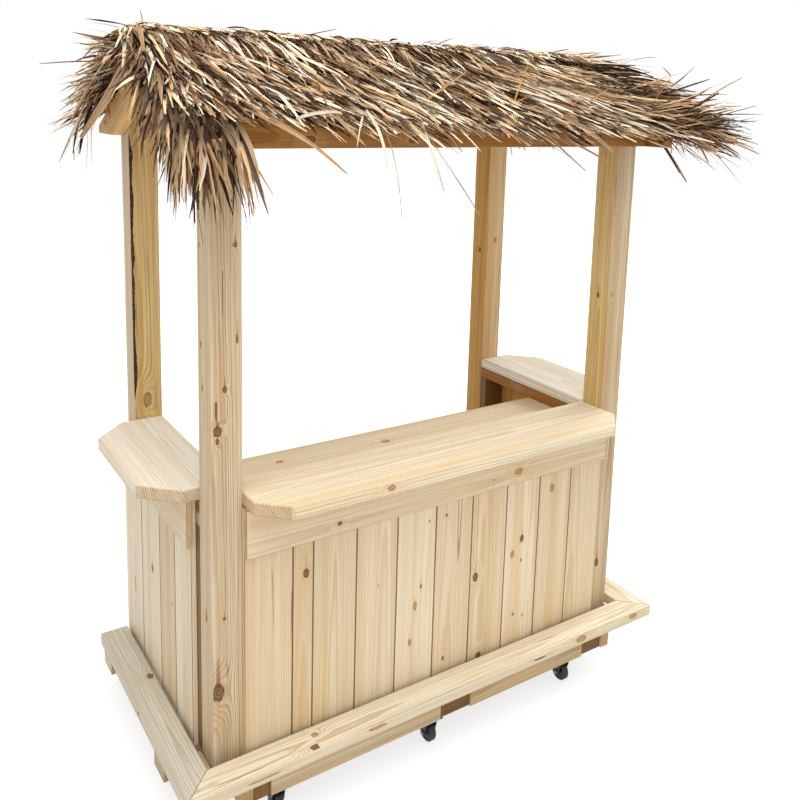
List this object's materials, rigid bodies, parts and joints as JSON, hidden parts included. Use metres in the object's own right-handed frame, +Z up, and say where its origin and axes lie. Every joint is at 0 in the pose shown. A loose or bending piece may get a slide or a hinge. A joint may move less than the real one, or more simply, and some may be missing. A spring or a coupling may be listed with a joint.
{
  "type": "tiki bar",
  "caption": "Rolling open-frame tiki bar of pine with a counter round three sides, boarded walls, an inner shelf and a thatched gable roof.",
  "frame": {"origin": "floor level, at the middle of the footprint of the posts", "axes": "+Z up, +X to the right seen from the service side, -Y towards the guests"},
  "size_m": [2.2193, 1.1609, 2.2235],
  "materials": {
    "pine": "planed, unfinished",
    "pine_frame": "planed, unfinished",
    "thatch": "dry leaf",
    "fork": "black",
    "wheel": "black"
  },
  "bodies": {
    "frame": {"front_left_post": "pine", "front_right_post": "pine", "rear_left_post": "pine", "rear_right_post": "pine", "front_counter": "pine", "left_counter": "pine", "right_counter": "pine", "inner_shelf": "pine_frame", "front_wall": "pine", "left_wall": "pine", "right_wall": "pine", "front_apron": "pine", "left_apron": "pine", "right_apron": "pine", "front_ledger": "pine_frame", "left_ledger": "pine_frame", "right_ledger": "pine_frame", "wall_studs": "pine_frame", "front_rail": "pine", "left_rail": "pine", "right_rail": "pine", "rail_outriggers": "pine_frame", "skirt_boards": "pine", "front_rim": "pine_frame", "rear_rim": "pine_frame", "base_side_boards": "pine_frame", "front_beam": "pine_frame", "rear_beam": "pine_frame", "left_rafters": "pine_frame", "right_rafters": "pine_frame", "middle_rafters": "pine_frame", "ridge_board": "pine_frame", "roof_battens": "pine", "front_thatch": "thatch", "rear_thatch": "thatch", "front_top_thatch": "thatch", "rear_top_thatch": "thatch", "ridge_thatch": "thatch", "left_thatch_curtain": "thatch", "right_thatch_curtain": "thatch", "caster_forks": "fork"},
    "wheel_front_left": {"wheel_front_left": "wheel"},
    "wheel_front_middle": {"wheel_front_middle": "wheel"},
    "wheel_front_right": {"wheel_front_right": "wheel"},
    "wheel_rear_left": {"wheel_rear_left": "wheel"},
    "wheel_rear_middle": {"wheel_rear_middle": "wheel"},
    "wheel_rear_right": {"wheel_rear_right": "wheel"}
  },
  "joints": [
    {"name": "front_left_roll", "type": "hinge", "parent": "frame", "child": "wheel_front_left", "pos_m": [-0.59, -0.417, 0.0315], "axis": [1, 0, 0], "continuous": true},
    {"name": "front_middle_roll", "type": "hinge", "parent": "frame", "child": "wheel_front_middle", "pos_m": [-0.058, -0.417, 0.0315], "axis": [1, 0, 0], "continuous": true},
    {"name": "front_right_roll", "type": "hinge", "parent": "frame", "child": "wheel_front_right", "pos_m": [0.518, -0.417, 0.0315], "axis": [1, 0, 0], "continuous": true},
    {"name": "rear_left_roll", "type": "hinge", "parent": "frame", "child": "wheel_rear_left", "pos_m": [-0.59, 0.3365, 0.0315], "axis": [1, 0, 0], "continuous": true},
    {"name": "rear_middle_roll", "type": "hinge", "parent": "frame", "child": "wheel_rear_middle", "pos_m": [-0.058, 0.3365, 0.0315], "axis": [1, 0, 0], "continuous": true},
    {"name": "rear_right_roll", "type": "hinge", "parent": "frame", "child": "wheel_rear_right", "pos_m": [0.518, 0.3365, 0.0315], "axis": [1, 0, 0], "continuous": true}
  ]
}
